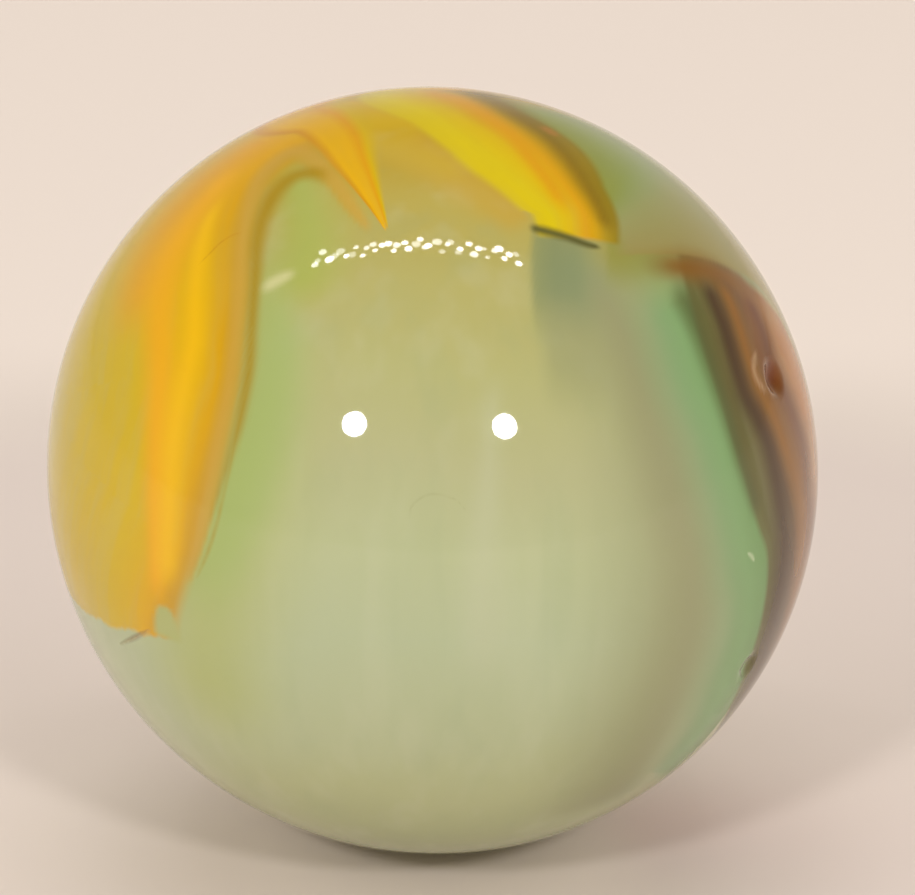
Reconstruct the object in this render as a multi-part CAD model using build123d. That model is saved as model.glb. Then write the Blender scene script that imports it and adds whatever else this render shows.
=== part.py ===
from build123d import *
from math import cos, radians, sin, sqrt
import os

# A swirl marble: one ball of fused glass, a little out of round from the rollers, with the small
# marks that its surface carries. Millimetres, +Z up, origin at the ball's centre, front towards -Y.

# The ball
long_diameter = 16.0  # along its longest line
cross_diameter = 15.8  # across that line, all the way round
long_line_tilt = 35.0  # degrees that the longest line dips towards +X

# The places of the marks: degrees from the front round towards +X, and degrees up from the middle
pit_place = (69.1, 22.6)
nick_place = (57.7, -19.2)
crease_place = (-49.8, -11.4)

# A burst bubble, open at the surface
pit_width = 0.80
pit_depth = 0.16
pit_rim_radius = 0.06

# A shallow flake, knocked off by another marble
nick_width = 0.66
nick_depth = 0.07

# The fold where the shears cut the hot glass: a round groove that runs out at both ends
crease_length = 1.60
crease_width = 0.20
crease_depth = 0.09
crease_slope = 32.0  # degrees that it rises towards +X

long_radius = long_diameter / 2
cross_radius = cross_diameter / 2


def direction_to(place):
    """Return the unit vector from the centre towards a place on the surface."""
    around = radians(place[0])
    up = radians(place[1])
    return Vector(cos(up) * sin(around), -cos(up) * cos(around), sin(up))


def surface_radius(direction):
    """Return the distance from the centre to the surface in a direction."""
    long_line = Vector(cos(radians(long_line_tilt)), 0, -sin(radians(long_line_tilt)))
    along = direction.dot(long_line)
    return 1 / sqrt((along / long_radius) ** 2 + (1 - along**2) / cross_radius**2)


def arc_radius(width, depth, crown):
    """Return the radius of an arc that cuts a hollow of this width and depth in a crowned face."""
    crown_height = width**2 / (8 * crown)
    below_rim = depth - crown_height
    return width**2 / (8 * below_rim) + below_rim / 2


def hollow_cutter(place, width, depth):
    """Return the sphere that cuts a round hollow at a place."""
    direction = direction_to(place)
    crown = surface_radius(direction)
    cutter_radius = arc_radius(width, depth, crown)
    centre = direction * (crown - depth + cutter_radius)
    return Pos(centre) * Sphere(cutter_radius)


def groove_cutter(place, slope, length, width, depth):
    """Return the wheel with a round rim that cuts a groove at a place, sloping up towards +X."""
    direction = direction_to(place)
    crown = surface_radius(direction)
    wheel_radius = arc_radius(length, depth, crown)
    centre = direction * (crown - depth + wheel_radius)
    level = Vector(0, 0, 1).cross(direction).normalized()
    run = level.rotate(Axis((0, 0, 0), direction), slope)
    rim_radius = width / 2
    wheel = Torus(wheel_radius - rim_radius, rim_radius)
    return Plane(origin=centre, z_dir=run.cross(direction)) * wheel


def plain_ball():
    """Return the ball without marks: an ellipse's upper half, in two arcs, turned about its base."""
    near_arc = EllipticalCenterArc((0, 0), long_radius, cross_radius, start_angle=0, arc_size=90)
    far_arc = EllipticalCenterArc((0, 0), long_radius, cross_radius, start_angle=90, arc_size=90)
    base = Line((-long_radius, 0), (long_radius, 0))
    half_ellipse = make_face([near_arc, far_arc, base])
    ball = revolve(Plane.XZ * half_ellipse, axis=Axis.X)
    return ball.rotate(Axis.Y, long_line_tilt)


def glass_ball():
    """Return the marble: the ball less its marks, with the rim of the pit rounded by the fire."""
    ball = plain_ball() - hollow_cutter(pit_place, pit_width, pit_depth)
    pit_rim = ball.edges().sort_by_distance(direction_to(pit_place) * long_radius)[0]
    ball = fillet(pit_rim, pit_rim_radius)
    ball -= hollow_cutter(nick_place, nick_width, nick_depth)
    ball -= groove_cutter(crease_place, crease_slope, crease_length, crease_width, crease_depth)
    return ball


os.makedirs("parts", exist_ok=True)
export_step(glass_ball(), "parts/glass_ball.step")
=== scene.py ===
import logging
import math
from dataclasses import dataclass
from enum import Enum
from typing import Union

import bpy
import numpy as np
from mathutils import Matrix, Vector


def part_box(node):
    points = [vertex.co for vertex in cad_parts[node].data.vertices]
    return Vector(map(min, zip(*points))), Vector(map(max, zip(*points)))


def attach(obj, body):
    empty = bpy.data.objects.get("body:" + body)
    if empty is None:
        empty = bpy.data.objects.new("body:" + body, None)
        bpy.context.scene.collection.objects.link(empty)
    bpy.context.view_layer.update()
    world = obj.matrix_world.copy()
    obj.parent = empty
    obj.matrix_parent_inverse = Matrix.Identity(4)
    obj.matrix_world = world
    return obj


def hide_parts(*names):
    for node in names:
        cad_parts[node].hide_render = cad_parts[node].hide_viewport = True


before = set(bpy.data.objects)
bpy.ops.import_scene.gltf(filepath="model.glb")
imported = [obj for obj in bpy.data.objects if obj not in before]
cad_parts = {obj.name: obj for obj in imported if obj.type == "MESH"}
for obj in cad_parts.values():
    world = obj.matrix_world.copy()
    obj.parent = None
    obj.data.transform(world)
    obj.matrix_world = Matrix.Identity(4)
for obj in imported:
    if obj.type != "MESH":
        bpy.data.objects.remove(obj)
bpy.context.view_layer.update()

# A swirl marble: opal glass with streams of yellow, orange, green and brown glass fused into it.
# Places on its front are given in millimetres right of and above its centre, as they look from
# the height that FrontView states. Places round the back are degrees round from the front towards
# +X, and degrees up from the middle.

LOG = logging.getLogger("marble")
MM = 0.001
# A stream's least half width, how many half widths from its middle its cover ends, and how many
# are measured at most
LEAST_HALF_MM = 0.01
COVER_REACH = 2.0
FARTHEST = 4
MATHS = "ShaderNodeMath"
RANGE = "ShaderNodeMapRange"
Feed = Union[float, tuple[float, ...], bpy.types.Node, bpy.types.NodeSocket]
Stops = tuple[tuple[float, str], ...]


def linear(hex_colour: str) -> tuple[float, float, float, float]:
    """Turn an sRGB hex colour to linear light.

    Args:
        hex_colour: Six hex digits, red first.

    Returns:
        Red, green, blue and an alpha of 1.
    """
    parts = [int(hex_colour[i : i + 2], 16) / 255 for i in (0, 2, 4)]
    light = [p / 12.92 if p <= 0.04045 else ((p + 0.055) / 1.055) ** 2.4 for p in parts]
    return (light[0], light[1], light[2], 1.0)


def add(
    tree: bpy.types.NodeTree,
    kind: str,
    inputs: dict[int | str, Feed] | None = None,
    **settings: object,
) -> bpy.types.Node:
    """Add a node with its settings, and set or link its inputs.

    Args:
        tree: The node tree that takes the node.
        kind: Blender's name for the node.
        inputs: Input names or numbers, each with a value, with the output that feeds it, or with
            a node whose first output feeds it.
        settings: Properties of the node itself.

    Returns:
        The new node.
    """
    node = tree.nodes.new(kind)
    for name, value in settings.items():
        setattr(node, name, value)
    for key, value in (inputs or {}).items():
        if isinstance(value, bpy.types.Node):
            value = value.outputs[0]
        if isinstance(value, bpy.types.NodeSocket):
            tree.links.new(value, node.inputs[key])
        else:
            node.inputs[key].default_value = value
    return node


def fill(ramp: bpy.types.ColorRamp, stops: Stops) -> None:
    """Set the colours of a new ramp.

    Args:
        ramp: The ramp.
        stops: Places from 0 to 1, each with its hex colour.
    """
    ramp.elements[0].position, ramp.elements[0].color = stops[0][0], linear(stops[0][1])
    ramp.elements[1].position, ramp.elements[1].color = stops[-1][0], linear(stops[-1][1])
    for place, colour in stops[1:-1]:
        ramp.elements.new(place).color = linear(colour)


@dataclass(frozen=True)
class FrontView:
    """The place that the front of the ball is looked at from."""

    height_deg: float = 22.0
    distance_mm: float = 105.3
    ball_radius_mm: float = 7.95

    def right(self) -> np.ndarray:
        """Return the direction that looks right from here."""
        return np.array([1.0, 0.0, 0.0])

    def up(self) -> np.ndarray:
        """Return the direction that looks up from here."""
        height = math.radians(self.height_deg)
        return np.array([0.0, math.sin(height), math.cos(height)])

    def towards(self) -> np.ndarray:
        """Return the direction from the ball to here."""
        height = math.radians(self.height_deg)
        return np.array([0.0, -math.cos(height), math.sin(height)])

    def outline_slope(self) -> float:
        """Return the tangent of the angle between the ball's centre and its outline."""
        edge = math.sqrt(self.distance_mm**2 - self.ball_radius_mm**2)
        return self.ball_radius_mm / edge

    def place(self, x: float, y: float) -> np.ndarray:
        """Find the place on the ball that is seen at an offset from its centre.

        Args:
            x: Millimetres to the right of the centre, where the outline is a radius away.
            y: Millimetres above it.

        Returns:
            The unit direction from the centre to that place.
        """
        slope = self.outline_slope() / self.ball_radius_mm
        ray = x * slope * self.right() + y * slope * self.up() - self.towards()
        ray /= np.linalg.norm(ray)
        eye = self.distance_mm * self.towards()
        middle = -float(eye @ ray)
        miss = middle**2 - self.distance_mm**2 + self.ball_radius_mm**2
        hit = eye + (middle - math.sqrt(max(miss, 0.0))) * ray
        return hit / np.linalg.norm(hit)

    def mirrored(self, x: float, y: float, distance_mm: float) -> np.ndarray:
        """Find where a lamp hangs that the ball mirrors at a place on its front.

        Args:
            x: Millimetres right of the ball's centre where the glint shows.
            y: Millimetres above it.
            distance_mm: How far the lamp is from that place.

        Returns:
            The lamp's place, in millimetres.
        """
        out = self.place(x, y)
        glint = out * self.ball_radius_mm
        ray = glint - self.distance_mm * self.towards()
        ray /= np.linalg.norm(ray)
        return glint + (ray - 2 * float(ray @ out) * out) * distance_mm


FRONT = FrontView()


def around(turn_deg: float, up_deg: float) -> np.ndarray:
    """Find the direction to a place on the ball.

    Args:
        turn_deg: Degrees round from the front towards +X.
        up_deg: Degrees up from the middle.

    Returns:
        The unit direction from the centre.
    """
    turn, up = math.radians(turn_deg), math.radians(up_deg)
    level = math.cos(up)
    return np.array([level * math.sin(turn), -level * math.cos(turn), math.sin(up)])


@dataclass(frozen=True)
class Knot:
    """A place that a stream of glass runs through, and half its width there."""

    place: np.ndarray
    half_width_mm: float


def on(x: float, y: float) -> np.ndarray:
    """Return the direction to a place on the front, in millimetres from its centre."""
    return FRONT.place(x, y)


def path(*places: tuple[float, float, float]) -> tuple[Knot, ...]:
    """Find the knots of a stream on the front.

    Args:
        places: How far right of the centre and above it each knot lies, and half the stream's
            width there, in millimetres.

    Returns:
        The knots.
    """
    return tuple(Knot(on(x, y), half_width) for x, y, half_width in places)


def span(left: np.ndarray, right: np.ndarray) -> Knot:
    """Find the knot half way between a stream's two edges.

    Args:
        left: The unit direction to its left edge.
        right: The unit direction to its right edge.

    Returns:
        The knot.
    """
    middle = left + right
    middle /= np.linalg.norm(middle)
    half_angle = 0.5 * math.acos(float(np.clip(left @ right, -1.0, 1.0)))
    return Knot(middle, half_angle * FRONT.ball_radius_mm)


class Edge(Enum):
    """How a stream's side meets its neighbour: the share of its half width that fades."""

    CUT = 0.08
    CRISP = 0.2
    SOFT = 0.5
    SMOKE = 1.0


class Along(Enum):
    """Which line of a stream its knots follow, as how far across its middle that line lies."""

    LEFT_EDGE = -1
    MIDDLE = 0
    RIGHT_EDGE = 1


@dataclass(frozen=True)
class Stream:
    """One stream of coloured glass: where it runs, how wide, and its colours from left to right.

    Left and right are those of someone who stands on the ball and looks along the knots.
    """

    name: str
    knots: tuple[Knot, ...]
    bands: Stops
    left: Edge = Edge.SMOKE
    right: Edge = Edge.SMOKE
    cover: float = 1.0
    fade_mm: float = 0.6
    along: Along = Along.MIDDLE
    start_lean_mm: float = 0.0
    end_lean_mm: float = 0.0

    def line(self, count: int = 260) -> tuple[np.ndarray, np.ndarray]:
        """Run a smooth line through the knots.

        Args:
            count: How many points to divide it into.

        Returns:
            Unit directions along the line, and the half widths there.
        """
        rows = np.array([[*k.place, k.half_width_mm] for k in self.knots])
        rows = np.vstack([2 * rows[0] - rows[1], rows, 2 * rows[-1] - rows[-2]])
        steps = np.linspace(0, len(self.knots) - 1, count)
        first = np.minimum(steps.astype(int), len(self.knots) - 2)
        t = (steps - first)[:, None]
        a, b, c, d = (rows[first + k] for k in range(4))
        curve = 0.5 * (2 * b + (c - a) * t + (2 * a - 5 * b + 4 * c - d) * t**2)
        curve += 0.5 * (3 * b - a - 3 * c + d) * t**3
        places = curve[:, :3] / np.linalg.norm(curve[:, :3], axis=1)[:, None]
        return places, np.maximum(curve[:, 3], LEAST_HALF_MM)

    def flow(self, points: np.ndarray) -> np.ndarray:
        """Measure where points of the ball lie in this stream.

        Args:
            points: Unit directions from the ball's centre.

        Returns:
            For each point: how far across it is, -1 at the left edge and 1 at the right; how
            many millimetres along; and how many millimetres inside the ends and the outer reach.
        """
        radius = FRONT.ball_radius_mm
        places, widths = self.line()
        ahead = np.gradient(places, axis=0)
        ahead -= places * np.sum(ahead * places, axis=1)[:, None]
        ahead /= np.linalg.norm(ahead, axis=1)[:, None]
        rightward = np.cross(ahead, places)
        gaps = np.arccos(np.clip(np.sum(places[1:] * places[:-1], axis=1), -1, 1))
        length = np.concatenate([[0.0], np.cumsum(gaps)]) * radius
        near = np.argmax(points @ places.T, axis=1)
        past = np.sum(points * ahead[near], axis=1) * radius
        side = np.arcsin(np.clip(np.sum(points * rightward[near], axis=1), -1, 1)) * radius
        run = length[near] + past
        half = np.interp(run, length, widths)
        across = side / half + self.along.value
        from_start = run + self.start_lean_mm * across
        from_end = length[-1] - run + self.end_lean_mm * across
        inside = np.minimum(from_start, from_end)
        inside = np.minimum(inside, (COVER_REACH - np.abs(across)) * half)
        inside[np.sum(points * places[near], axis=1) < 0] = -radius
        across = np.clip(across, -FARTHEST, FARTHEST)
        return np.stack([across, run, np.clip(inside, -radius, radius)], axis=1)


@dataclass(frozen=True)
class Veil(Stream):
    """A stream that lies under the skin and meets its neighbours softly. A few veils are painted shade
    and one is a painted highlight.
    """

    def tint(self, points: np.ndarray) -> tuple[np.ndarray, np.ndarray]:
        """Find the veil's colour and cover at points of the ball.

        Args:
            points: Unit directions from the ball's centre.

        Returns:
            The linear colour and the cover at each point.
        """
        across, _, inside = self.flow(points).T
        softness = np.where(across > 0, self.right.value, self.left.value)
        side = rise((1 - np.abs(across)) / softness)
        cover = side * rise(inside / self.fade_mm) * self.cover
        places = [2 * place - 1 for place, _ in self.bands]
        colours = np.array([linear(colour)[:3] for _, colour in self.bands])
        colour = np.stack([np.interp(across, places, colours[:, k]) for k in range(3)], axis=1)
        return colour, cover


@dataclass(frozen=True)
class Ribbon(Stream):
    """A stream at the skin, brushed out into strands, with edges that wander."""

    wander: float = 0.04
    streaks: float = 0.12
    ragged_mm: float = 0.2


@dataclass(frozen=True)
class Thread(Stream):
    """A fine line of one colour in the skin, with or without a groove under it."""

    groove_mm: float = 0.0


Layers = tuple[tuple[Stream, ...], ...]


def rise(value: np.ndarray) -> np.ndarray:
    """Return a smooth rise from 0 at zero to 1 at one."""
    share = np.clip(value, 0, 1)
    return share * share * (3 - 2 * share)


@dataclass(frozen=True)
class OpalGlass:
    """Opal soda-lime glass, fire-polished: a wet-looking skin over a milky, slightly deep body.

    The opal lets light in a fraction of a millimetre and scatters it back, so colours look as if
    they lie just under the skin. The skin is as smooth as the fire leaves it, so lamps show
    in it as sharp points.
    """

    name: str = "opal_glass"
    ior: float = 1.52
    roughness: float = 0.035
    depth_share: float = 0.3
    depth_mm: float = 0.5
    depth_by_colour: tuple[float, float, float] = (1.0, 1.0, 0.8)
    # The body from its foot to its crown: milky grey-green, darker at the very foot as painted shade
    # and paler low down, partly as painted light from below, then khaki where the yellow tints it
    body: Stops = (
        (0.00, "A4AC7C"),
        (0.10, "B4BA8C"),
        (0.16, "B4BC94"),
        (0.28, "B4BE98"),
        (0.40, "B5BC90"),
        (0.51, "B5B688"),
        (0.63, "B3B278"),
        (0.75, "B1A860"),
        (0.81, "B5A450"),
        (0.86, "B69A30"),
        (0.92, "BE9814"),
        (1.00, "B49420"),
    )
    sway: float = 0.25
    sways_per_metre: float = 180.0
    # Upright wisps that the stirring left in the body: a pale and a dark one, and how strong
    wisps: tuple[tuple[str, float], ...] = (("CFD2B4", 0.13), ("8FA07A", 0.12))
    wisp_width_mm: float = 0.9
    wisp_length_mm: float = 7.0
    wisp_from: float = 0.48
    wisp_full: float = 0.75
    strands_per_mm: float = 2.2
    strand_length_mm: float = 3.6
    thin_from: float = 0.35
    thin_full: float = 0.7
    seed_step: float = 7.3

    def edge_cover(self) -> bpy.types.NodeTree:
        """Build the group that turns places across and inside a stream into its cover.

        Returns:
            The node group.
        """
        group = bpy.data.node_groups.new("edge_cover", "ShaderNodeTree")
        for name in ("Across", "Inside", "Left", "Right", "Fade", "Cover"):
            group.interface.new_socket(name, in_out="INPUT", socket_type="NodeSocketFloat")
        group.interface.new_socket("Mask", in_out="OUTPUT", socket_type="NodeSocketFloat")
        given = add(group, "NodeGroupInput").outputs
        is_right = add(group, MATHS, {0: given["Across"], 1: 0.0}, operation="GREATER_THAN")
        change = add(group, MATHS, {0: given["Right"], 1: given["Left"]}, operation="SUBTRACT")
        parts = {0: is_right, 1: change, 2: given["Left"]}
        softness = add(group, MATHS, parts, operation="MULTIPLY_ADD")
        size = add(group, MATHS, {0: given["Across"]}, operation="ABSOLUTE")
        within = add(group, MATHS, {0: 1.0, 1: size}, operation="SUBTRACT")
        parts = {"Value": within, "From Max": softness}
        side = add(group, RANGE, parts, interpolation_type="SMOOTHSTEP")
        parts = {"Value": given["Inside"], "From Max": given["Fade"]}
        ends = add(group, RANGE, parts, interpolation_type="SMOOTHSTEP")
        whole = add(group, MATHS, {0: side, 1: ends}, operation="MULTIPLY")
        mask = add(group, MATHS, {0: whole, 1: given["Cover"]}, operation="MULTIPLY")
        add(group, "NodeGroupOutput", {"Mask": mask})
        return group

    def brush(self) -> bpy.types.NodeTree:
        """Build the group that draws a stream's flow out into strands, as if brushed along it.

        Returns:
            The node group.
        """
        group = bpy.data.node_groups.new("brush", "ShaderNodeTree")
        group.interface.new_socket("Flow", in_out="INPUT", socket_type="NodeSocketVector")
        for name in ("Half Width", "Wander", "Streaks", "Ragged", "Seed", "Cover"):
            group.interface.new_socket(name, in_out="INPUT", socket_type="NodeSocketFloat")
        for name in ("Across", "Inside", "Cover"):
            group.interface.new_socket(name, in_out="OUTPUT", socket_type="NodeSocketFloat")
        given = add(group, "NodeGroupInput").outputs
        flow = add(group, "ShaderNodeSeparateXYZ", {0: given["Flow"]}).outputs
        parts = {0: given["Half Width"], 1: self.strands_per_mm}
        strands = add(group, MATHS, parts, operation="MULTIPLY")
        sideways = add(group, MATHS, {0: flow["X"], 1: strands}, operation="MULTIPLY")
        parts = {0: flow["Y"], 1: 1 / self.strand_length_mm}
        lengthways = add(group, MATHS, parts, operation="MULTIPLY")
        parts = {0: sideways, 1: lengthways, 2: given["Seed"]}
        grain = add(group, "ShaderNodeCombineXYZ", parts)
        parts = {"Vector": grain, "Scale": 1.0, "Detail": 2.0, "Roughness": 0.55}
        noise = add(group, "ShaderNodeTexNoise", parts).outputs["Color"]
        noises = add(group, "ShaderNodeSeparateColor", {0: noise}).outputs
        side_noise = add(group, MATHS, {0: noises[0], 1: 0.5}, operation="SUBTRACT")
        shift = add(group, MATHS, {0: side_noise, 1: given["Wander"]}, operation="MULTIPLY")
        across = add(group, MATHS, {0: shift, 1: 2.0, 2: flow["X"]}, operation="MULTIPLY_ADD")
        end_noise = add(group, MATHS, {0: noises[2], 1: 0.5}, operation="SUBTRACT")
        parts = {0: end_noise, 1: given["Ragged"], 2: flow["Z"]}
        torn = add(group, MATHS, parts, operation="MULTIPLY_ADD")
        parts = {"Value": noises[1], "From Min": self.thin_from, "From Max": self.thin_full}
        streak = add(group, RANGE, parts, interpolation_type="SMOOTHSTEP")
        thin = add(group, MATHS, {0: streak, 1: given["Streaks"]}, operation="MULTIPLY")
        left = add(group, MATHS, {0: 1.0, 1: thin}, operation="SUBTRACT")
        cover = add(group, MATHS, {0: left, 1: given["Cover"]}, operation="MULTIPLY")
        add(group, "NodeGroupOutput", {"Across": across, "Inside": torn, "Cover": cover})
        return group

    def body_colour(self, tree: bpy.types.NodeTree) -> bpy.types.NodeSocket:
        """Add the milky body: its change of colour from foot to crown, and its upright wisps.

        Args:
            tree: The material's node tree.

        Returns:
            The body's colour.
        """
        where = add(tree, "ShaderNodeTexCoord").outputs["Object"]
        metre_to_ball = 1 / (FRONT.ball_radius_mm * MM)
        crown = tuple(float(v) * metre_to_ball for v in FRONT.up())
        dot = add(tree, "ShaderNodeVectorMath", {0: where, 1: crown}, operation="DOT_PRODUCT")
        broad = {"Vector": where, "Scale": self.sways_per_metre, "Detail": 2.0}
        sway = add(tree, "ShaderNodeTexNoise", broad).outputs["Fac"]
        parts = {0: sway, 1: self.sway, 2: dot.outputs["Value"]}
        height = add(tree, MATHS, parts, operation="MULTIPLY_ADD")
        parts = {"Value": height, "From Min": self.sway / 2 - 1, "From Max": self.sway / 2 + 1}
        # The ramp up the ball also paints shade at its foot and light from below
        ramp = add(tree, "ShaderNodeValToRGB", {0: add(tree, RANGE, parts)})
        fill(ramp.color_ramp, self.body)
        colour = ramp.outputs["Color"]
        thin, tall = 1 / (self.wisp_width_mm * MM), 1 / (self.wisp_length_mm * MM)
        drawn = add(tree, "ShaderNodeMapping", {"Vector": where, "Scale": (thin, thin, tall)})
        cloud = {"Vector": drawn, "Scale": 1.0, "Detail": 2.0, "Roughness": 0.5}
        noise = add(tree, "ShaderNodeTexNoise", cloud).outputs["Color"]
        noises = add(tree, "ShaderNodeSeparateColor", {0: noise}).outputs
        for noise, (wisp, strength) in zip(noises, self.wisps):
            parts = {"Value": noise, "From Min": self.wisp_from, "From Max": self.wisp_full}
            parts["To Max"] = strength
            amount = add(tree, RANGE, parts, interpolation_type="SMOOTHSTEP")
            parts = {0: amount, 6: colour, 7: linear(wisp)}
            colour = add(tree, "ShaderNodeMix", parts, data_type="RGBA").outputs[2]
        return colour

    def ribbon_over(
        self,
        tree: bpy.types.NodeTree,
        below: bpy.types.NodeSocket,
        ribbon: Ribbon,
        groups: tuple[bpy.types.NodeTree, bpy.types.NodeTree],
        seed: float,
    ) -> bpy.types.NodeSocket:
        """Lay a ribbon over what is below it.

        Args:
            tree: The material's node tree.
            below: The colour below.
            ribbon: The ribbon.
            groups: The brush and the edge cover groups.
            seed: What makes this ribbon's strands its own.

        Returns:
            The colour with the ribbon.
        """
        brush, edge = groups
        flow = add(tree, "ShaderNodeAttribute", attribute_name=ribbon.name).outputs["Vector"]
        strokes = {
            "Flow": flow,
            "Half Width": float(np.median(ribbon.line()[1])),
            "Wander": ribbon.wander,
            "Streaks": ribbon.streaks,
            "Ragged": ribbon.ragged_mm,
            "Seed": seed,
            "Cover": ribbon.cover,
        }
        drawn = add(tree, "ShaderNodeGroup", strokes, node_tree=brush).outputs
        shape = {
            "Across": drawn["Across"],
            "Inside": drawn["Inside"],
            "Left": ribbon.left.value,
            "Right": ribbon.right.value,
            "Fade": ribbon.fade_mm,
            "Cover": drawn["Cover"],
        }
        mask = add(tree, "ShaderNodeGroup", shape, node_tree=edge).outputs["Mask"]
        parts = {0: drawn["Across"], 1: 0.5, 2: 0.5}
        place = add(tree, MATHS, parts, operation="MULTIPLY_ADD")
        ramp = add(tree, "ShaderNodeValToRGB", {0: place})
        fill(ramp.color_ramp, ribbon.bands)
        parts = {0: mask, 6: below, 7: ramp}
        return add(tree, "ShaderNodeMix", parts, data_type="RGBA").outputs[2]

    def thread_mask(self, tree: bpy.types.NodeTree, thread: Thread) -> bpy.types.NodeSocket:
        """Find how much a thread covers.

        Args:
            tree: The material's node tree.
            thread: The thread.

        Returns:
            Its cover, from 0 to 1.
        """
        flow = add(tree, "ShaderNodeAttribute", attribute_name=thread.name).outputs["Vector"]
        flows = add(tree, "ShaderNodeSeparateXYZ", {0: flow}).outputs
        size = add(tree, MATHS, {0: flows["X"]}, operation="ABSOLUTE")
        within = add(tree, MATHS, {0: 1.0, 1: size}, operation="SUBTRACT")
        parts = {"Value": within, "From Max": thread.left.value}
        side = add(tree, RANGE, parts, interpolation_type="SMOOTHSTEP")
        parts = {"Value": flows["Z"], "From Max": thread.fade_mm}
        ends = add(tree, RANGE, parts, interpolation_type="SMOOTHSTEP")
        whole = add(tree, MATHS, {0: side, 1: ends}, operation="MULTIPLY")
        return add(tree, MATHS, {0: whole, 1: thread.cover}, operation="MULTIPLY").outputs[0]

    def veil_over(
        self, tree: bpy.types.NodeTree, below: bpy.types.NodeSocket, name: str
    ) -> bpy.types.NodeSocket:
        """Lay a layer of veils, kept as colour times cover, over what is below it.

        Args:
            tree: The material's node tree.
            below: The colour below.
            name: The name that the layer is kept under.

        Returns:
            The colour with the veils.
        """
        kept = add(tree, "ShaderNodeAttribute", attribute_name=name).outputs
        left = add(tree, MATHS, {0: 1.0, 1: kept["Alpha"]}, operation="SUBTRACT")
        parts = {0: below, 1: left, 2: kept["Color"]}
        return add(tree, "ShaderNodeVectorMath", parts, operation="MULTIPLY_ADD").outputs[0]

    def make(self, layers: Layers) -> bpy.types.Material:
        """Build the glass with its streams.

        Args:
            layers: The streams in layers, the lowest first; each layer is of one kind.

        Returns:
            The material.
        """
        material = bpy.data.materials.new(self.name)
        material.use_nodes = True
        tree = material.node_tree
        tree.nodes.clear()
        colour = self.body_colour(tree)
        groups = (self.brush(), self.edge_cover())
        height: Feed = 0.0
        for number, layer in enumerate(layers):
            if isinstance(layer[0], Veil):
                colour = self.veil_over(tree, colour, veil_name(number))
                continue
            for stream in layer:
                if isinstance(stream, Ribbon):
                    seed = self.seed_step * number
                    colour = self.ribbon_over(tree, colour, stream, groups, seed)
                    continue
                mask = self.thread_mask(tree, stream)
                parts = {0: mask, 6: colour, 7: linear(stream.bands[0][1])}
                colour = add(tree, "ShaderNodeMix", parts, data_type="RGBA").outputs[2]
                if stream.groove_mm:
                    parts = {0: mask, 1: -stream.groove_mm, 2: height}
                    height = add(tree, MATHS, parts, operation="MULTIPLY_ADD")
        bump = {"Strength": 1.0, "Distance": MM, "Height": height}
        normal = add(tree, "ShaderNodeBump", bump).outputs["Normal"]
        surface = {
            "Base Color": colour,
            "Roughness": self.roughness,
            "IOR": self.ior,
            "Normal": normal,
            "Subsurface Weight": self.depth_share,
            "Subsurface Radius": self.depth_by_colour,
            "Subsurface Scale": self.depth_mm * MM,
        }
        shader = add(tree, "ShaderNodeBsdfPrincipled", surface)
        add(tree, "ShaderNodeOutputMaterial", {"Surface": shader})
        return material


def veil_name(number: int) -> str:
    """Return the name that a layer of veils is kept under on the ball."""
    return f"veil_{number}"


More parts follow.
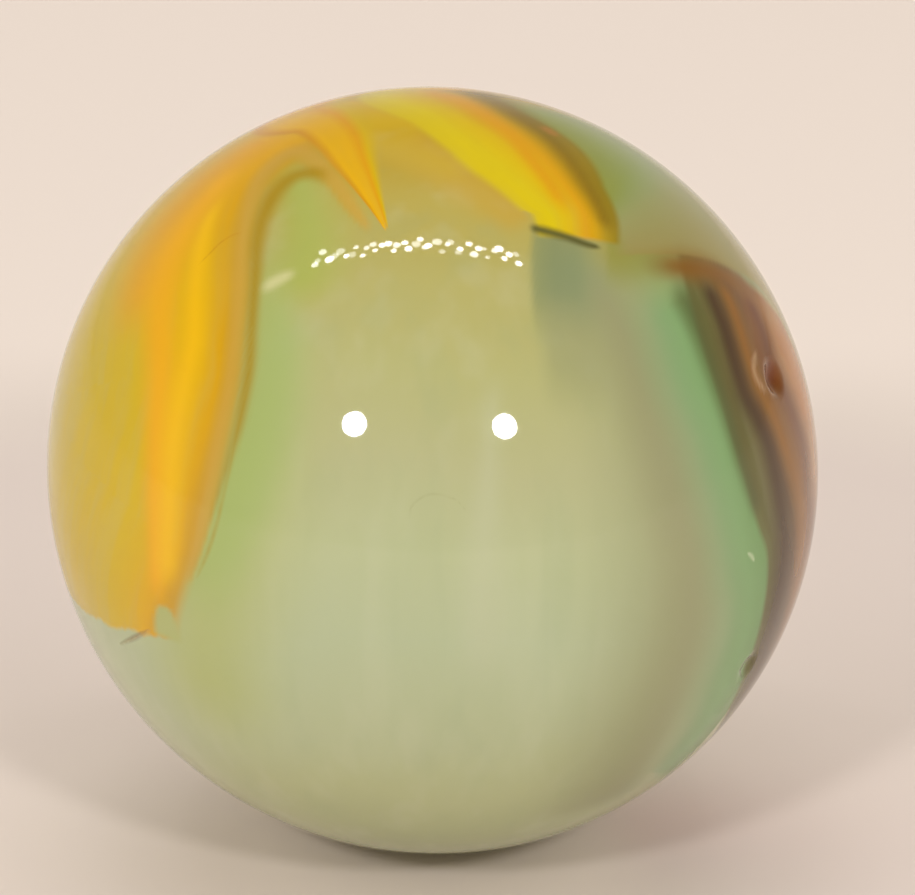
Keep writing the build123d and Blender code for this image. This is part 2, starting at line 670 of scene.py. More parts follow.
def right_layers() -> Layers:
    """Return the veils in the body, and the smoke, clear green and brown ribbon on the right."""
    return (
        (
            Veil(
                "right_shade",
                path(
                    (3.0, -7.2, 2.0), (4.0, -5.8, 2.6), (4.9, -4.0, 3.0), (5.3, -2.0, 3.1),
                    (5.1, 0.0, 3.0), (4.6, 1.6, 2.6), (4.0, 3.0, 2.4), (3.5, 4.0, 2.1), (3.2, 4.8, 1.8),
                ),
                ((0.0, "A2A67C"), (0.4, "999C72"), (1.0, "8E966C")),
                cover=0.85, fade_mm=1.0,
            ),
            Veil(
                "left_tint",
                path(
                    (-3.6, -6.2, 1.6), (-4.5, -4.8, 2.2), (-4.7, -3.0, 2.5), (-4.3, -1.0, 2.6),
                    (-3.9, 1.0, 2.4), (-3.6, 2.6, 2.0),
                ),
                ((0.0, "AAB062"), (1.0, "AEB66E")),
                cover=0.7, fade_mm=2.5,
            ),
            Veil(
                "left_green",
                path(
                    (-5.5, -3.0, 0.9), (-5.3, -2.2, 1.0), (-4.95, -0.9, 1.1), (-4.65, 0.0, 1.15),
                    (-4.35, 1.1, 1.15), (-4.15, 2.05, 1.1), (-4.1, 2.9, 1.0), (-4.0, 3.95, 0.8),
                    (-4.0, 4.75, 0.6),
                ),
                ((0.0, "98B05C"), (0.4, "A0B468"), (1.0, "ACB87C")),
                left=Edge.CUT, cover=0.75, fade_mm=2.2, along=Along.LEFT_EDGE,
            ),
            Veil(
                "hook_green",
                path(
                    (-2.9, 3.1, 0.9), (-2.6, 4.0, 1.25), (-2.5, 4.8, 1.25), (-2.6, 5.5, 1.0),
                    (-2.75, 6.1, 0.7), (-2.8, 6.5, 0.5),
                ),
                ((0.0, "A0AC50"), (0.5, "A8AF58"), (1.0, "B0AE60")),
                cover=0.95, fade_mm=1.0,
            ),
            Veil(
                "golden_haze",
                path((-0.9, 6.9, 0.8), (0.15, 6.2, 0.8), (1.2, 5.5, 0.7), (2.0, 4.9, 0.4)),
                ((0.0, "C49C2C"), (1.0, "BFA244")),
                left=Edge.SOFT, cover=0.65, fade_mm=0.5,
            ),
            Veil(
                "crown_green",
                path(
                    (3.5, 3.6, 1.6), (3.55, 4.75, 2.4), (3.45, 5.4, 2.9), (3.25, 5.95, 3.1),
                    (2.85, 6.6, 3.2), (2.3, 7.05, 3.2), (1.6, 7.4, 3.0), (0.8, 7.85, 2.8),
                ),
                ((0.0, "8A9034"), (0.18, "8A9852"), (0.4, "8E9E6C"), (1.0, "94A070")),
                left=Edge.CUT, right=Edge.SOFT, cover=0.95, fade_mm=1.5, along=Along.LEFT_EDGE,
            ),
            Veil(
                "shoulder_khaki",
                path(
                    (3.0, 4.2, 0.8), (4.0, 4.5, 1.0), (4.8, 4.75, 1.1), (5.5, 4.85, 1.2),
                    (6.2, 4.6, 1.0),
                ),
                ((0.0, "948C3C"), (1.0, "928C48")),
                cover=0.6, fade_mm=1.2,
            ),
            Veil(
                "front_wisp",
                path(
                    (1.2, -4.8, 0.7), (1.05, -3.1, 0.8), (1.1, -1.4, 0.7), (1.2, 0.4, 0.5),
                    (1.3, 2.3, 0.4),
                ),
                ((0.0, "C4C8AA"), (1.0, "BFC3A0")),
                cover=0.4, fade_mm=1.6,
            ),
            Veil(
                "smoke",
                (
                    span(on(2.05, 2.5), on(4.0, 2.4)), span(on(2.0, 3.2), on(3.9, 3.0)),
                    span(on(1.95, 4.2), on(3.8, 4.0)), span(on(2.0, 5.05), on(3.8, 4.65)),
                    span(on(2.1, 5.7), on(3.7, 5.3)),
                ),
                ((0.0, "88905E"), (0.3, "7A8862"), (1.0, "88946A")),
                left=Edge.CRISP, cover=0.8, fade_mm=1.3,
            ),
            Veil(
                "smoke_tail",
                (
                    span(on(2.2, 0.9), on(4.2, 0.8)), span(on(2.1, 2.0), on(4.1, 1.8)),
                    span(on(2.05, 3.2), on(3.9, 3.0)), span(on(2.0, 4.2), on(3.8, 4.0)),
                ),
                ((0.0, "96986A"), (1.0, "96986E")),
                left=Edge.SOFT, cover=0.5, fade_mm=1.4,
            ),
            # Painted shade: a grey-mauve shadow band down the left side of the clear green band
            Veil(
                "mauve_shadow_band",
                path(
                    (3.4, -7.0, 0.9), (4.5, -5.6, 1.1), (5.1, -4.15, 1.3), (5.35, -3.15, 1.35),
                    (5.35, -1.9, 1.35), (5.1, -0.9, 1.3), (4.7, 0.4, 1.15), (4.3, 1.75, 1.0),
                    (3.85, 3.05, 0.8), (3.5, 3.7, 0.65), (3.15, 4.3, 0.45),
                ),
                ((0.0, "98966C"), (0.5, "93906A"), (1.0, "90986E")),
                cover=0.4, fade_mm=1.0,
            ),
            Veil(
                "clear_green",
                path(
                    (4.4, -6.6, 0.7), (5.0, -6.15, 0.9), (5.65, -5.5, 1.1), (6.25, -4.7, 1.25),
                    (6.7, -3.8, 1.35), (7.05, -2.8, 1.4), (7.12, -1.85, 1.35), (7.0, -1.15, 1.3),
                    (6.7, 0.15, 1.25), (6.4, 1.25, 1.25), (6.1, 2.1, 1.3), (5.85, 2.95, 1.3),
                    (5.5, 3.7, 1.2), (5.2, 4.3, 0.9),
                ),
                ((0.0, "8EA074"), (0.3, "8AA274"), (0.6, "80A46C"), (0.8, "749A5E"), (1.0, "6A8A4C")),
                right=Edge.CUT, cover=0.95, fade_mm=1.0, along=Along.RIGHT_EDGE,
            ),
        ),
        (
            Ribbon(
                "brandy_ribbon",
                path(
                    (3.8, -7.05, 1.8), (4.42, -6.72, 2.2), (4.92, -6.34, 2.5), (5.53, -5.7, 2.7),
                    (6.08, -4.88, 2.8), (6.48, -3.92, 2.8), (6.76, -2.9, 2.8), (6.85, -1.85, 2.9),
                    (6.66, -1.15, 2.9), (6.28, 0.15, 3.0), (5.95, 1.25, 3.0), (5.67, 2.1, 3.0),
                    (5.42, 2.95, 3.0), (5.2, 3.75, 3.0), (5.05, 4.35, 3.0), (4.85, 5.1, 3.0),
                ),
                (
                    (0.0, "6C7240"), (0.06, "64602C"), (0.17, "5C5020"), (0.24, "4E360C"),
                    (0.32, "764810"), (0.42, "8A5818"), (0.55, "A66E2C"), (0.75, "A26C2C"),
                    (0.9, "6A5E28"), (1.0, "7A8044"),
                ),
                left=Edge.CUT, right=Edge.SOFT, fade_mm=0.5, along=Along.LEFT_EDGE, wander=0.03,
            ),
        ),
        (
            Veil(
                "shoulder_cap",
                path(
                    (7.62, 2.1, 1.6), (7.28, 2.94, 1.8), (7.08, 3.35, 2.0), (6.77, 3.77, 2.0),
                    (6.35, 4.06, 2.0), (5.84, 4.28, 1.8), (5.32, 4.42, 1.3), (4.8, 4.46, 1.0),
                    (4.2, 4.46, 0.7), (3.7, 4.42, 0.4),
                ),
                ((0.0, "988A4A"), (0.15, "9A8F54"), (0.6, "989860"), (1.0, "92A070")),
                left=Edge.CUT, cover=0.95, fade_mm=0.7, along=Along.LEFT_EDGE,
            ),
            Veil(
                "brandy_margin",
                path(
                    (7.78, 0.6, 1.2), (7.68, 1.4, 1.3), (7.5, 2.1, 1.2), (7.22, 2.85, 0.9),
                    (6.95, 3.35, 0.6),
                ),
                ((0.0, "A46008"), (0.5, "B27020"), (1.0, "B68440")),
                cover=0.9, fade_mm=0.8,
            ),
            Veil(
                "brandy_crest",
                path(
                    (6.8, 3.6, 0.4), (6.35, 3.9, 0.55), (5.95, 4.1, 0.65), (5.6, 4.2, 0.7),
                    (5.15, 4.24, 0.65), (4.7, 4.24, 0.5), (4.2, 4.2, 0.4),
                ),
                ((0.0, "8A5600"), (0.5, "825400"), (1.0, "90702C")),
                cover=0.9, fade_mm=1.3,
            ),
            Veil(
                "olive_shadow",
                path(
                    (6.78, -1.1, 0.35), (6.42, 0.15, 0.4), (6.1, 1.25, 0.45), (5.82, 2.1, 0.5),
                    (5.5, 2.95, 0.55), (5.2, 3.6, 0.65), (4.85, 3.95, 0.5),
                ),
                ((0.0, "5C6A34"), (0.5, "545A2C"), (1.0, "5C4C1C")),
                cover=0.75, fade_mm=0.6,
            ),
            Veil(
                "second_dark",
                path(
                    (7.8, -1.6, 1.0), (7.75, -0.6, 1.0), (7.68, 0.4, 0.95), (7.5, 1.05, 0.9),
                    (7.27, 1.65, 0.85), (7.02, 2.25, 0.75), (6.87, 2.8, 0.65), (6.67, 3.3, 0.55),
                    (6.45, 3.75, 0.4),
                ),
                ((0.0, "744410"), (0.5, "6A380A"), (1.0, "804C1A")),
                cover=0.9, fade_mm=0.5,
            ),
            Veil(
                "amber_thread",
                path(
                    (7.0, -3.9, 0.6), (7.4, -2.8, 0.8), (7.58, -1.9, 0.9), (7.62, -0.9, 0.95),
                    (7.5, -0.1, 0.85), (7.27, 0.55, 0.75), (7.0, 1.25, 0.68), (6.75, 1.75, 0.62),
                    (6.58, 2.25, 0.58), (6.42, 2.8, 0.58), (6.2, 3.45, 0.55), (6.02, 3.8, 0.5),
                    (5.92, 4.05, 0.4),
                ),
                ((0.0, "785000"), (0.5, "8C5A00"), (1.0, "7C4C00")),
                cover=0.95, fade_mm=0.5,
            ),
            Veil(
                "dark_thread",
                path(
                    (4.8, -6.62, 0.4), (5.34, -6.05, 0.6), (6.0, -5.25, 0.7), (6.54, -4.42, 0.8),
                    (6.87, -3.65, 0.85), (7.1, -2.8, 0.85), (7.25, -1.85, 0.8), (7.25, -1.15, 0.75),
                    (7.15, -0.4, 0.68), (6.95, 0.55, 0.6), (6.74, 1.05, 0.56), (6.46, 1.6, 0.54),
                    (6.26, 2.25, 0.52), (6.06, 2.95, 0.5), (5.8, 3.6, 0.45), (5.64, 4.05, 0.35),
                ),
                ((0.0, "50420E"), (0.5, "462C04"), (1.0, "5A3604")),
                cover=0.95, fade_mm=0.5,
            ),
            # Painted shade: the floor of the pit is darkened where the hollow lies
            Veil(
                "pit_floor_painted_shade",
                path((7.2, 1.68, 0.25), (7.1, 2.02, 0.38), (6.95, 2.4, 0.25)),
                ((0.0, "6E3410"), (1.0, "7A3E14")),
                cover=0.9, fade_mm=0.3,
            ),
        ),
    )


def left_layers() -> Layers:
    """Return the broad yellow ribbon of the left side, and the orange and yellow in its core."""
    return (
        (
            Ribbon(
                "sunflower_ribbon",
                path(
                    (-5.0, -5.0, 5.0), (-5.2, -3.6, 5.0), (-4.92, -2.45, 5.0), (-4.7, -1.85, 5.0),
                    (-4.52, -0.9, 5.0), (-4.32, -0.2, 5.0), (-4.15, 0.45, 5.0), (-4.0, 1.1, 5.0),
                    (-3.8, 2.05, 5.0), (-3.75, 2.9, 5.0), (-3.65, 3.95, 5.0), (-3.65, 4.75, 5.0),
                    (-3.52, 5.5, 5.0), (-3.2, 6.05, 5.0), (-2.75, 6.4, 4.8), (-2.2, 6.75, 4.5),
                    (-1.5, 7.2, 4.2), (-0.8, 7.6, 4.0),
                ),
                (
                    (0.0, "B9A238"), (0.2, "BEA838"), (0.4, "C4AC26"), (0.55, "C8AE18"),
                    (0.7, "CCAE08"), (0.78, "CEB008"), (0.84, "D2AE00"), (0.89, "D8AA00"),
                    (0.93, "D2A000"), (0.955, "C69A22"), (1.0, "C4982C"),
                ),
                right=Edge.CUT, fade_mm=0.15, along=Along.RIGHT_EDGE, start_lean_mm=-1.8, wander=0.008,
                ragged_mm=0.3,
            ),
        ),
        (
            Veil(
                "upper_gold",
                path(
                    (-6.2, 2.4, 1.0), (-5.95, 3.7, 1.6), (-5.4, 4.9, 2.2), (-4.6, 5.9, 2.3),
                    (-3.6, 6.7, 2.1), (-2.4, 7.4, 1.5),
                ),
                ((0.0, "D69E00"), (0.5, "DEA200"), (1.0, "DCA400")),
                cover=0.95, fade_mm=1.6,
            ),
            Veil(
                "orange_core",
                path(
                    (-5.75, -2.85, 0.35), (-5.72, -1.9, 0.45), (-5.72, -0.9, 0.55), (-5.7, 0.3, 0.65),
                    (-5.65, 1.4, 0.75), (-5.6, 2.25, 0.85), (-5.6, 3.25, 0.95), (-5.5, 4.1, 1.0),
                    (-5.2, 4.8, 0.9), (-4.6, 5.65, 0.7), (-3.9, 6.4, 0.5),
                ),
                ((0.0, "DEA800"), (0.4, "E8AA00"), (1.0, "EAAE00")),
                cover=0.95, fade_mm=0.8,
            ),
            Veil(
                "bright_core",
                path(
                    (-5.55, -2.6, 0.4), (-5.5, -1.8, 0.55), (-5.42, -0.45, 0.6), (-5.3, 0.9, 0.62),
                    (-5.0, 2.25, 0.55), (-4.9, 2.9, 0.55), (-4.85, 3.95, 0.5), (-4.65, 5.0, 0.4),
                    (-4.3, 5.7, 0.25),
                ),
                ((0.0, "EDB400"), (0.5, "ECBA00"), (1.0, "E0B000")),
                cover=0.9, fade_mm=0.8,
            ),
            Veil(
                "notch",
                path((-5.48, -3.55, 0.5), (-5.53, -3.15, 0.42), (-5.6, -2.75, 0.16)),
                ((0.0, "AEB474"),),
                left=Edge.SOFT, right=Edge.SOFT, fade_mm=0.15,
            ),
        ),
    )


def crown_layers() -> Layers:
    """Return the saddle, the ribbon and the hooked blade of the crown."""
    return (
        (
            Veil(
                "saddle_foot",
                path(
                    (-1.9, 6.9, 0.5), (-1.3, 6.75, 0.7), (-0.6, 6.6, 0.8), (0.2, 6.3, 0.7),
                    (0.8, 5.9, 0.4),
                ),
                ((0.0, "C8A628"), (1.0, "BEA442")),
                cover=0.8, fade_mm=0.8,
            ),
            Veil(
                "straw_saddle",
                path((-2.4, 7.5, 1.2), (-1.3, 7.35, 1.5), (-0.6, 7.35, 1.6), (0.3, 7.3, 1.5)),
                ((0.0, "D0A804"), (0.5, "CEAA08"), (1.0, "CEAA10")),
                fade_mm=0.6,
            ),
        ),
        (
            Ribbon(
                "crown_ribbon",
                (
                    span(around(150, 38), around(118, 52)), span(around(160, 50), around(125, 62)),
                    span(on(-1.3, 7.6), on(0.9, 7.95)), span(on(-0.5, 7.1), on(1.9, 7.45)),
                    span(on(0.3, 6.45), on(2.75, 7.0)), span(on(0.8, 6.05), on(3.25, 6.6)),
                    span(on(1.4, 5.65), on(3.65, 5.95)), span(on(1.95, 5.25), on(3.87, 5.4)),
                    span(on(2.08, 4.93), on(3.95, 4.5)),
                ),
                (
                    (0.0, "92800E"), (0.08, "947C0A"), (0.2, "AE8E06"), (0.3, "CC9E00"),
                    (0.42, "D8A000"), (0.56, "D8B400"), (0.75, "D8C000"), (0.92, "D4BC08"),
                    (1.0, "C6A81C"),
                ),
                left=Edge.CRISP, right=Edge.CRISP, fade_mm=0.2, end_lean_mm=0.12, wander=0.03,
                ragged_mm=0.06,
            ),
        ),
        (
            Veil(
                "crown_orange",
                path(
                    (-0.05, 7.85, 0.5), (0.65, 7.65, 0.6), (1.2, 7.3, 0.5), (1.7, 6.9, 0.45),
                    (2.05, 6.45, 0.42), (2.4, 6.0, 0.4), (2.65, 5.6, 0.36), (2.85, 5.2, 0.25),
                ),
                ((0.0, "D49E00"), (0.5, "DA9C00"), (1.0, "D8A400")),
                cover=0.9, fade_mm=0.8,
            ),
            Veil(
                "crown_dark",
                path(
                    (0.65, 7.9, 0.9), (1.4, 7.6, 0.8), (2.0, 7.22, 0.7), (2.45, 6.88, 0.66),
                    (2.84, 6.46, 0.62), (3.16, 6.0, 0.56), (3.4, 5.6, 0.48), (3.58, 5.2, 0.38),
                    (3.65, 4.85, 0.25),
                ),
                ((0.0, "7E6C08"), (0.5, "836804"), (1.0, "967400")),
                cover=0.85, fade_mm=0.5,
            ),
            Veil(
                "ember_spot",
                path((2.2, 7.17, 0.18), (2.42, 7.05, 0.22), (2.62, 6.9, 0.16)),
                ((0.0, "AA7420"),),
                cover=0.85, fade_mm=0.2,
            ),
        ),
        (
            Ribbon(
                "hook_blade",
                (
                    span(around(-146, 56), around(-168, 62)), span(on(-3.3, 6.95), on(-2.0, 7.75)),
                    span(on(-2.9, 6.9), on(-1.4, 7.5)), span(on(-2.5, 6.68), on(-1.1, 7.05)),
                    span(on(-2.15, 6.32), on(-1.06, 6.6)), span(on(-1.65, 5.78), on(-1.02, 6.0)),
                    span(on(-1.26, 5.32), on(-0.96, 5.46)), span(on(-0.98, 4.92), on(-0.9, 4.98)),
                ),
                (
                    (0.0, "C8AA10"), (0.22, "D0AC04"), (0.36, "D89C00"), (0.5, "DEAA00"),
                    (0.78, "E0AC00"), (0.9, "CE9200"), (1.0, "C89414"),
                ),
                left=Edge.SOFT, right=Edge.CRISP, fade_mm=0.15, wander=0.04,
            ),
        ),
    )


def skin_layers() -> Layers:
    """Return what lies nearest the skin: the fringe of the ribbons, fine threads, small marks, a
    painted shadow at the crown ribbon's tip and a painted highlight on the pit's rim.
    """
    return (
        (
            Veil(
                "tan_fringe",
                path(
                    (-5.1, -2.4, 0.12), (-4.76, -1.05, 0.26), (-4.48, 0.4, 0.3), (-4.2, 1.85, 0.3),
                    (-4.0, 3.5, 0.28), (-3.9, 4.85, 0.3), (-3.55, 6.05, 0.4), (-2.8, 6.6, 0.42),
                    (-2.1, 6.1, 0.3), (-1.65, 5.45, 0.22), (-1.25, 4.9, 0.12),
                ),
                ((0.0, "C89C30"), (0.5, "C69E3E"), (1.0, "BC9A30")),
                right=Edge.SOFT, cover=0.8, fade_mm=0.4,
            ),
            Veil(
                "olive_thread",
                path(
                    (-4.65, -1.2, 0.1), (-4.35, -0.2, 0.18), (-4.15, 0.45, 0.22), (-3.98, 1.1, 0.26),
                    (-3.8, 2.05, 0.28), (-3.74, 2.9, 0.28), (-3.66, 3.95, 0.3), (-3.6, 4.8, 0.36),
                    (-3.42, 5.4, 0.4), (-3.15, 5.82, 0.42), (-2.8, 6.08, 0.4), (-2.4, 6.12, 0.34),
                    (-2.1, 5.9, 0.2),
                ),
                ((0.0, "AE8A00"), (0.5, "A68400"), (1.0, "A68C08")),
                cover=0.85, fade_mm=0.6,
            ),
            Veil(
                "smear",
                path((-3.6, 3.65, 0.18), (-3.25, 3.9, 0.24), (-2.75, 4.12, 0.15)),
                ((0.0, "D2CE98"),),
                cover=0.75, fade_mm=0.3,
            ),
            # Painted highlight: a pale ring on the pit's rim
            Veil(
                "pit_rim_painted_highlight",
                path((6.95, 1.6, 0.1), (6.75, 1.85, 0.14), (6.66, 2.15, 0.14), (6.72, 2.5, 0.1)),
                ((0.0, "B8966E"),),
                cover=0.6, fade_mm=0.2,
            ),
        ),
        (
            Thread(
                "crown_shadow",
                path(
                    (1.95, 5.06, 0.14), (2.3, 4.98, 0.22), (2.75, 4.86, 0.2), (3.2, 4.7, 0.16),
                    (3.55, 4.62, 0.08),
                ),
                ((0.0, "5A5828"),),
                left=Edge.SMOKE, right=Edge.SMOKE, cover=0.95, fade_mm=0.2,
            ),
            Thread(
                "edge_thread",
                path(
                    (-4.92, -2.3, 0.06), (-4.68, -1.75, 0.1), (-4.47, -1.1, 0.1), (-4.25, -0.2, 0.08),
                    (-4.1, 0.5, 0.05),
                ),
                ((0.0, "A8902C"),),
                cover=0.8, fade_mm=0.3,
            ),
            Thread(
                "hairline",
                path(
                    (-4.85, 4.2, 0.03), (-4.6, 4.45, 0.05), (-4.35, 4.7, 0.05), (-4.1, 4.85, 0.05),
                    (-3.9, 4.9, 0.04),
                ),
                ((0.0, "BC7C06"),),
                cover=0.7, fade_mm=0.15,
            ),
            Thread(
                "crack",
                path(
                    (-0.5, -1.05, 0.03), (-0.42, -0.72, 0.045), (-0.05, -0.5, 0.05),
                    (0.45, -0.6, 0.045), (0.75, -0.9, 0.03),
                ),
                ((0.0, "96946A"),),
                cover=0.6, fade_mm=0.2,
            ),
            Thread(
                "nick_rim",
                path((6.72, -3.78, 0.05), (6.5, -3.9, 0.07), (6.36, -4.08, 0.07), (6.38, -4.3, 0.05)),
                ((0.0, "5E5E40"),),
                cover=0.6, fade_mm=0.12,
            ),
            Thread(
                "crease_line",
                path((-6.5, -3.62, 0.05), (-6.15, -3.46, 0.1), (-5.84, -3.3, 0.05)),
                ((0.0, "967A40"),),
                cover=0.9, fade_mm=0.3, groove_mm=0.09,
            ),
            Thread(
                "pale_fleck",
                path((6.5, -1.7, 0.04), (6.6, -1.78, 0.09), (6.66, -1.9, 0.04)),
                ((0.0, "BCCBA4"),),
                left=Edge.SMOKE, right=Edge.SMOKE, cover=0.7, fade_mm=0.08,
            ),
            Thread(
                "pinhole",
                path((4.62, -0.47, 0.05), (4.69, -0.47, 0.05)),
                ((0.0, "EFE6D2"),),
                cover=0.9, fade_mm=0.03,
            ),
        ),
    )


@dataclass(frozen=True)
class Hollow:
    """A shallow round hollow in the ball: a burst bubble or a flake knocked off."""

    turn_deg: float
    up_deg: float
    width_mm: float
    depth_mm: float
    rim_rounding: float = 1.25

    def depth(self, points: np.ndarray) -> np.ndarray:
        """Find how far points of the ball sink into the hollow.

        Args:
            points: Unit directions from the ball's centre.

        Returns:
            The depths in millimetres, which end in a rounded rim.
        """
        near = np.clip(points @ around(self.turn_deg, self.up_deg), -1, 1)
        away = np.arccos(near) * FRONT.ball_radius_mm / (self.width_mm / 2)
        return self.depth_mm * np.clip(1 - away**2, 0, 1) ** self.rim_rounding


@dataclass
class GlassBall:
    """The marble: a ball a little out of round, with a pit, a nick and a crease in its skin."""

    node: str = "glass_ball"
    long_diameter_mm: float = 16.0
    cross_diameter_mm: float = 15.8
    long_line_tilt_deg: float = 35.0
    squares_per_side: int = 127
    hollows: tuple[Hollow, ...] = (
        Hollow(turn_deg=69.1, up_deg=22.6, width_mm=0.80, depth_mm=0.16),
        Hollow(turn_deg=57.7, up_deg=-19.2, width_mm=0.66, depth_mm=0.07),
    )
    side_gap: float = 0.004
    glass: OpalGlass = OpalGlass()

    def directions(self) -> tuple[np.ndarray, list[tuple[int, ...]], np.ndarray]:
        """Blow a cube's grid of squares up to a ball.

        Returns:
            Unit directions, the squares as rows of their corners, and each corner's place in a
            flat layout of the cube's six sides.
        """
        n = self.squares_per_side
        steps = np.tan(np.linspace(-math.pi / 4, math.pi / 4, n + 1))
        found: dict[tuple[int, ...], int] = {}
        points: list[np.ndarray] = []
        squares: list[tuple[int, ...]] = []
        layout: list[tuple[float, float]] = []
        sides = (
            ((0, -1, 0), (1, 0, 0), (0, 0, 1)),
            ((1, 0, 0), (0, 1, 0), (0, 0, 1)),
            ((0, 1, 0), (-1, 0, 0), (0, 0, 1)),
            ((-1, 0, 0), (0, -1, 0), (0, 0, 1)),
            ((0, 0, 1), (1, 0, 0), (0, 1, 0)),
            ((0, 0, -1), (1, 0, 0), (0, -1, 0)),
        )
        # The flat layout has the sides in three columns and two rows, each with a gap round it
        gap = self.side_gap
        for number, (out, right, up) in enumerate(np.array(s, float) for s in sides):
            column, row = number % 3, number // 3
            ids = np.zeros((n + 1, n + 1), int)
            for j in range(n + 1):
                for i in range(n + 1):
                    p = out + steps[i] * right + steps[j] * up
                    p = p / np.linalg.norm(p)
                    key = tuple(np.round(p * 1e6).astype(int))
                    if key not in found:
                        found[key] = len(points)
                        points.append(p)
                    ids[j, i] = found[key]
            for j in range(n):
                for i in range(n):
                    squares.append((ids[j, i], ids[j, i + 1], ids[j + 1, i + 1], ids[j + 1, i]))
                    for a, b in ((i, j), (i + 1, j), (i + 1, j + 1), (i, j + 1)):
                        u = (column + gap * 3 + (1 - 6 * gap) * a / n) / 3
                        v = (row + gap * 2 + (1 - 4 * gap) * b / n) / 2
                        layout.append((u, v))
        return np.array(points), squares, np.array(layout)

    def surface(self, points: np.ndarray) -> np.ndarray:
        """Find the ball's radius before its marks.

        Args:
            points: Unit directions from the ball's centre.

        Returns:
            The radius in each direction, in millimetres.
        """
        tilt = math.radians(self.long_line_tilt_deg)
        along = points @ np.array([math.cos(tilt), 0.0, -math.sin(tilt)])
        long_part = (along / (self.long_diameter_mm / 2)) ** 2
        cross_part = (1 - along**2) / (self.cross_diameter_mm / 2) ** 2
        return 1 / np.sqrt(long_part + cross_part)

    def keep_layers(self, mesh: bpy.types.Mesh, points: np.ndarray, layers: Layers) -> None:
        """Keep on the ball where each stream flows, and each layer of veils' colour and cover.

        Args:
            mesh: The ball's mesh.
            points: The unit directions of its points.
            layers: The streams in layers, the lowest first.
        """
        for number, layer in enumerate(layers):
            if isinstance(layer[0], Veil):
                tint = np.zeros((len(points), 4))
                for veil in layer:
                    colour, cover = veil.tint(points)
                    above = np.column_stack([colour * cover[:, None], cover])
                    tint = tint * (1 - cover)[:, None] + above
                kept = mesh.attributes.new(veil_name(number), "FLOAT_COLOR", "POINT")
                kept.data.foreach_set("color", tint.astype(np.float32).ravel())
                continue
            for stream in layer:
                kept = mesh.attributes.new(stream.name, "FLOAT_VECTOR", "POINT")
                kept.data.foreach_set("vector", stream.flow(points).astype(np.float32).ravel())

    def build(self, layers: Layers) -> bpy.types.Object:
        """Build the ball and lay the streams on it.

        Args:
            layers: The streams in layers, the lowest first.

        Returns:
            The ball.
        """
        points, squares, layout = self.directions()
        radii = self.surface(points)
        for hollow in self.hollows:
            radii -= hollow.depth(points)
        mesh = bpy.data.meshes.new("marble_glass")
        mesh.from_pydata((points * radii[:, None] * MM).tolist(), [], squares)
        mesh.polygons.foreach_set("use_smooth", [True] * len(mesh.polygons))
        flat = mesh.uv_layers.new(name="OFBake")
        flat.data.foreach_set("uv", layout.ravel())
        self.keep_layers(mesh, points, layers)
        mesh.update()
        ball = bpy.data.objects.new("marble_glass", mesh)
        bpy.context.scene.collection.objects.link(ball)
        mesh.materials.append(self.glass.make(layers))
        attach(ball, "root")
        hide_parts(self.node)
        LOG.info("%s: %d squares, %d streams", ball.name, len(squares), sum(map(len, layers)))
        return ball


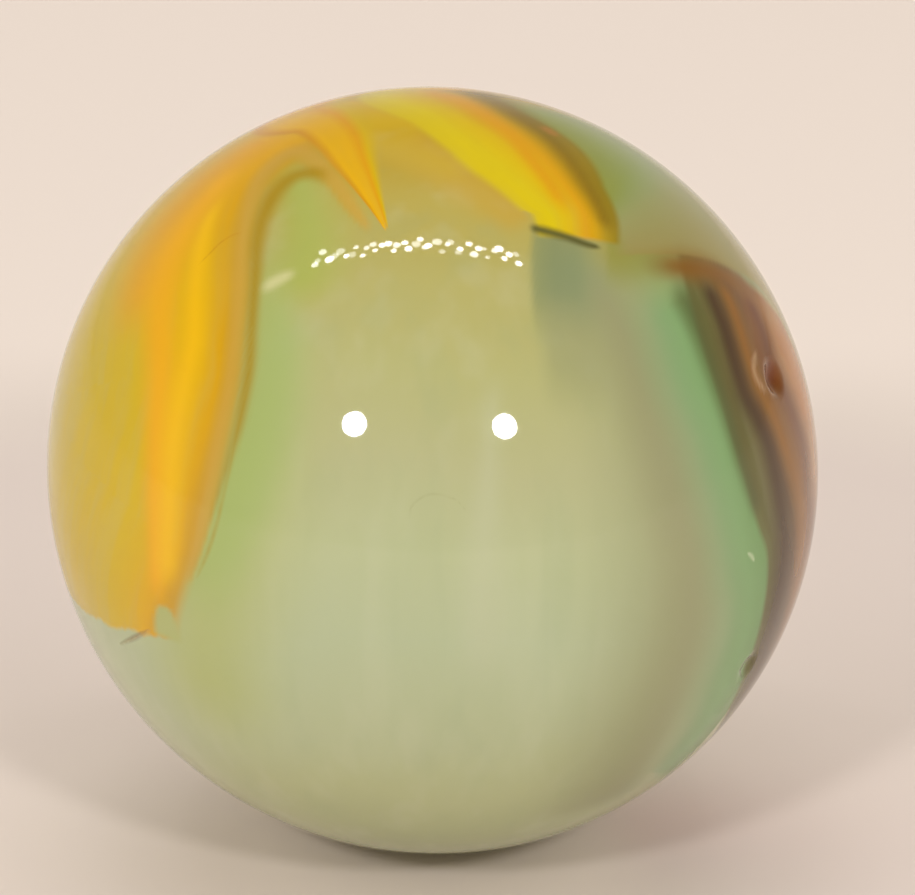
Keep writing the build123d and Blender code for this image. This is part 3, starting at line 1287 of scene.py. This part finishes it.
@dataclass
class Studio:
    """A plain pale table, a pair of small round lamps, a string of bulbs and a soft sky."""

    # Matt paper-faced laminate, pressed flat: a pale colour with hardly any shine, painted darker
    # within about 25 mm of the ball as a pool of shadow
    table_shade_pool_colour: str = "E8D9CF"
    table_far_colour: str = "EDDFD3"
    shade_pool_edge_mm: tuple[float, float] = (23.0, 27.5)
    table_roughness: float = 0.7
    table_reach_m: float = 0.35
    sky_colour: str = "F2E6DA"
    horizon_light: float = 0.68
    overhead_light: float = 0.26
    overhead_from: float = 0.6
    lens_mm: float = 200.0
    sensor_mm: float = 36.0
    shift_right: float = 0.0272
    shift_up: float = 0.0249
    clip_m: tuple[float, float] = (0.001, 10.0)
    glints_mm: tuple[tuple[float, float], ...] = ((-1.56, 0.92), (1.52, 0.90))
    lamp_distance_mm: float = 400.0
    lamp_radius_mm: float = 25.0
    lamp_radiance: float = 68.0
    bulb_count: int = 40
    bulb_distance_mm: float = 400.0
    bulb_radius_mm: float = 7.5
    bulb_radiance: float = 26.0
    bulb_seed: int = 5
    # Where the string of bulbs shows in the ball, from its centre: a shallow arch of three rows
    string_left_mm: float = -2.37
    string_length_mm: float = 4.25
    string_height_mm: float = 4.28
    string_arch_mm: float = 1.28
    string_slope_mm: float = 0.08
    string_row_mm: float = 0.09
    string_scatter_mm: tuple[float, float] = (0.04, 0.05)
    bulb_sizes: tuple[float, float] = (0.5, 1.1)
    bulb_lights: tuple[float, float] = (0.25, 1.3)
    soft_places_deg: tuple[tuple[float, float], ...] = ((180.0, 50.0), (-80.0, 30.0), (80.0, 30.0))
    soft_distance_mm: float = 500.0
    soft_radius_mm: float = 200.0
    soft_radiance: float = 1.5

    def table(self) -> bpy.types.Object:
        """Build the table that the ball touches.

        Returns:
            The table.
        """
        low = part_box("glass_ball")[0][2]
        mesh = bpy.data.meshes.new("table")
        reach = self.table_reach_m
        square = ((-reach, -reach), (reach, -reach), (reach, reach), (-reach, reach))
        corners = [(x, y, low) for x, y in square]
        mesh.from_pydata(corners, [], [(0, 1, 2, 3)])
        top = bpy.data.objects.new("table", mesh)
        bpy.context.scene.collection.objects.link(top)
        material = bpy.data.materials.new("matt_laminate")
        material.use_nodes = True
        tree = material.node_tree
        tree.nodes.clear()
        where = add(tree, "ShaderNodeTexCoord").outputs["Object"]
        away = add(tree, "ShaderNodeVectorMath", {0: where}, operation="LENGTH").outputs["Value"]
        near, far = self.shade_pool_edge_mm
        parts = {"Value": away, "From Min": near * MM, "From Max": far * MM}
        share = add(tree, RANGE, parts, interpolation_type="SMOOTHSTEP")
        # Painted shadow: the table's colour is darker near the ball and paler beyond the pool's edge
        parts = {0: share, 6: linear(self.table_shade_pool_colour), 7: linear(self.table_far_colour)}
        colour = add(tree, "ShaderNodeMix", parts, data_type="RGBA").outputs[2]
        parts = {"Base Color": colour, "Roughness": self.table_roughness}
        shader = add(tree, "ShaderNodeBsdfPrincipled", parts)
        add(tree, "ShaderNodeOutputMaterial", {"Surface": shader})
        mesh.materials.append(material)
        return top

    def sky(self) -> None:
        """Set the soft light from all round, nearly as bright as the table at the horizon."""
        world = bpy.data.worlds.new("soft_room")
        bpy.context.scene.world = world
        world.use_nodes = True
        tree = world.node_tree
        tree.nodes.clear()
        towards = add(tree, "ShaderNodeTexCoord").outputs["Generated"]
        height = add(tree, "ShaderNodeSeparateXYZ", {0: towards}).outputs["Z"]
        parts = {"Value": height, "From Max": self.overhead_from}
        share = add(tree, RANGE, parts, interpolation_type="SMOOTHSTEP")
        parts = {0: share, 1: self.overhead_light - self.horizon_light, 2: self.horizon_light}
        strength = add(tree, MATHS, parts, operation="MULTIPLY_ADD")
        light = {"Color": linear(self.sky_colour), "Strength": strength}
        add(tree, "ShaderNodeOutputWorld", {"Surface": add(tree, "ShaderNodeBackground", light)})

    def lamp(
        self, name: str, place_mm: np.ndarray, radius_mm: float, radiance: float
    ) -> bpy.types.Object:
        """Hang a round lamp that faces the ball.

        Args:
            name: The lamp's name.
            place_mm: Where it hangs.
            radius_mm: Half its diameter.
            radiance: How bright its face is, where 1 is the brightness of white paper.

        Returns:
            The lamp.
        """
        data = bpy.data.lights.new(name, "AREA")
        data.shape = "DISK"
        data.size = 2 * radius_mm * MM
        data.energy = radiance * (math.pi * radius_mm * MM) ** 2
        lamp = bpy.data.objects.new(name, data)
        lamp.location = Vector(place_mm) * MM
        lamp.rotation_euler = Vector(place_mm).to_track_quat("Z", "Y").to_euler()
        lamp.visible_camera = False
        bpy.context.scene.collection.objects.link(lamp)
        return lamp

    def glints(self) -> None:
        """Hang the pair of lamps beside the camera."""
        for number, (x, y) in enumerate(self.glints_mm):
            place = FRONT.mirrored(x, y, self.lamp_distance_mm)
            self.lamp(f"round_lamp_{number}", place, self.lamp_radius_mm, self.lamp_radiance)

    def bulbs(self) -> None:
        """Hang the string of bulbs, each of its own size and brightness."""
        chance = np.random.default_rng(self.bulb_seed)
        aside, above = self.string_scatter_mm
        for number in range(self.bulb_count):
            share = number / (self.bulb_count - 1)
            x = self.string_left_mm + self.string_length_mm * share + chance.uniform(-aside, aside)
            y = self.string_height_mm + self.string_arch_mm * share * (1 - share)
            y += self.string_slope_mm * share + (number % 3 - 1) * self.string_row_mm
            y += chance.uniform(-above, above)
            place = FRONT.mirrored(x, y, self.bulb_distance_mm)
            size = self.bulb_radius_mm * chance.uniform(*self.bulb_sizes)
            light = self.bulb_radiance * chance.uniform(*self.bulb_lights)
            self.lamp(f"bulb_{number}", place, size, light)

    def soft_lamps(self) -> None:
        """Hang the soft lamps round the sides and the back, out of sight in the glass."""
        for number, (turn, up) in enumerate(self.soft_places_deg):
            place = around(turn, up) * self.soft_distance_mm
            soft = self.lamp(f"soft_lamp_{number}", place, self.soft_radius_mm, self.soft_radiance)
            soft.visible_glossy = False

    def camera(self) -> None:
        """Place the camera in front of the ball, a little above it."""
        data = bpy.data.cameras.new("camera")
        data.lens = self.lens_mm
        data.sensor_width = self.sensor_mm
        data.shift_x = self.shift_right
        data.shift_y = self.shift_up
        data.clip_start, data.clip_end = self.clip_m
        camera = bpy.data.objects.new("camera", data)
        camera.location = Vector(FRONT.towards()) * FRONT.distance_mm * MM
        camera.rotation_euler = Vector(FRONT.towards()).to_track_quat("Z", "Y").to_euler()
        bpy.context.scene.collection.objects.link(camera)
        bpy.context.scene.camera = camera

    def build(self) -> None:
        """Set up the table, the light and the camera."""
        self.table()
        self.sky()
        self.glints()
        self.bulbs()
        self.soft_lamps()
        self.camera()
        bpy.context.scene.view_settings.view_transform = "Standard"


def main() -> None:
    """Build the marble and its studio."""
    logging.basicConfig(level=logging.INFO, format="%(message)s")
    layers = right_layers() + left_layers() + crown_layers() + skin_layers()
    GlassBall().build(layers)
    Studio().build()


if __name__ == "__main__":
    main()
